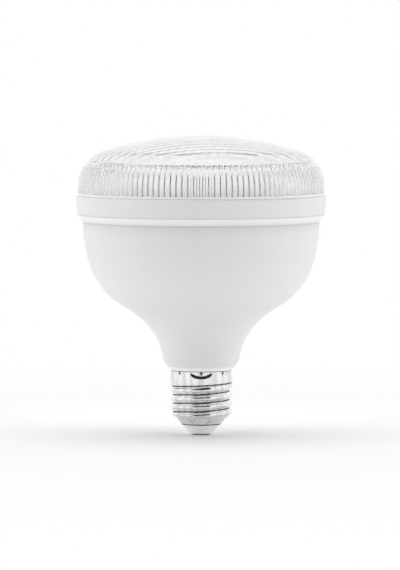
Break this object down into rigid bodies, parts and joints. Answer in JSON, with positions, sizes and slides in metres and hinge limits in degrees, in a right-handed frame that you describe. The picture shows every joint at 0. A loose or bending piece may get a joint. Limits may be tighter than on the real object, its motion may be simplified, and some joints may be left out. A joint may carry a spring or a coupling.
{
  "type": "led torch bulb",
  "caption": "LED lamp with a wide torch head: white bowl and neck, clear fluted cover, screw cap, and the light board and driver inside.",
  "frame": {"origin": "centre of the tip contact's outer face, on the lamp's axis", "axes": "+Z along the lamp's axis, from the screw cap towards the clear cover"},
  "size_m": [0.1066, 0.1066, 0.1276],
  "materials": {
    "clear_cover": "clear moulded plastic with flutes inside",
    "white_plastic": "fine moulded grain",
    "nickel_sheet": "bright nickel plate on rolled sheet",
    "cap_insulator": "smooth pale plastic",
    "contact_metal": "plain turned metal",
    "spreader_metal": "pressed, plain",
    "led_board_face": "white lacquer on a metal core",
    "led_package": "cream package with a yellow window",
    "screw_steel": "zinc plated",
    "driver_laminate": "resin-paper laminate",
    "capacitor_sleeve": "shrunk sleeve",
    "film_box": "moulded box",
    "ferrite": "sintered, matt",
    "winding_tape": "tape over copper wire",
    "package_black": "moulded package",
    "choke_wire": "enamelled copper wire on a drum",
    "varistor_coat": "dipped coating",
    "fuse_coat": "painted body, tinned legs",
    "lead_brown": "wire insulation",
    "lead_blue": "wire insulation",
    "lead_white": "wire insulation"
  },
  "bodies": {
    "root": {"prismatic_cover": "clear_cover", "housing": "white_plastic", "screw_shell": "nickel_sheet", "base_insulator": "cap_insulator", "tip_contact": "contact_metal", "heat_spreader": "spreader_metal", "led_board": "led_board_face", "led_chips": "led_package", "board_screws": "screw_steel", "driver_board": "driver_laminate", "bulk_capacitor": "capacitor_sleeve", "output_capacitor": "capacitor_sleeve", "filter_capacitor": "film_box", "transformer_core": "ferrite", "transformer_winding": "winding_tape", "bridge_rectifier": "package_black", "driver_chip": "package_black", "output_diode": "package_black", "choke": "choke_wire", "varistor": "varistor_coat", "fuse_resistor": "fuse_coat", "line_lead": "lead_brown", "neutral_lead": "lead_blue", "led_lead_positive": "lead_white", "led_lead_negative": "lead_white"}
  },
  "joints": []
}
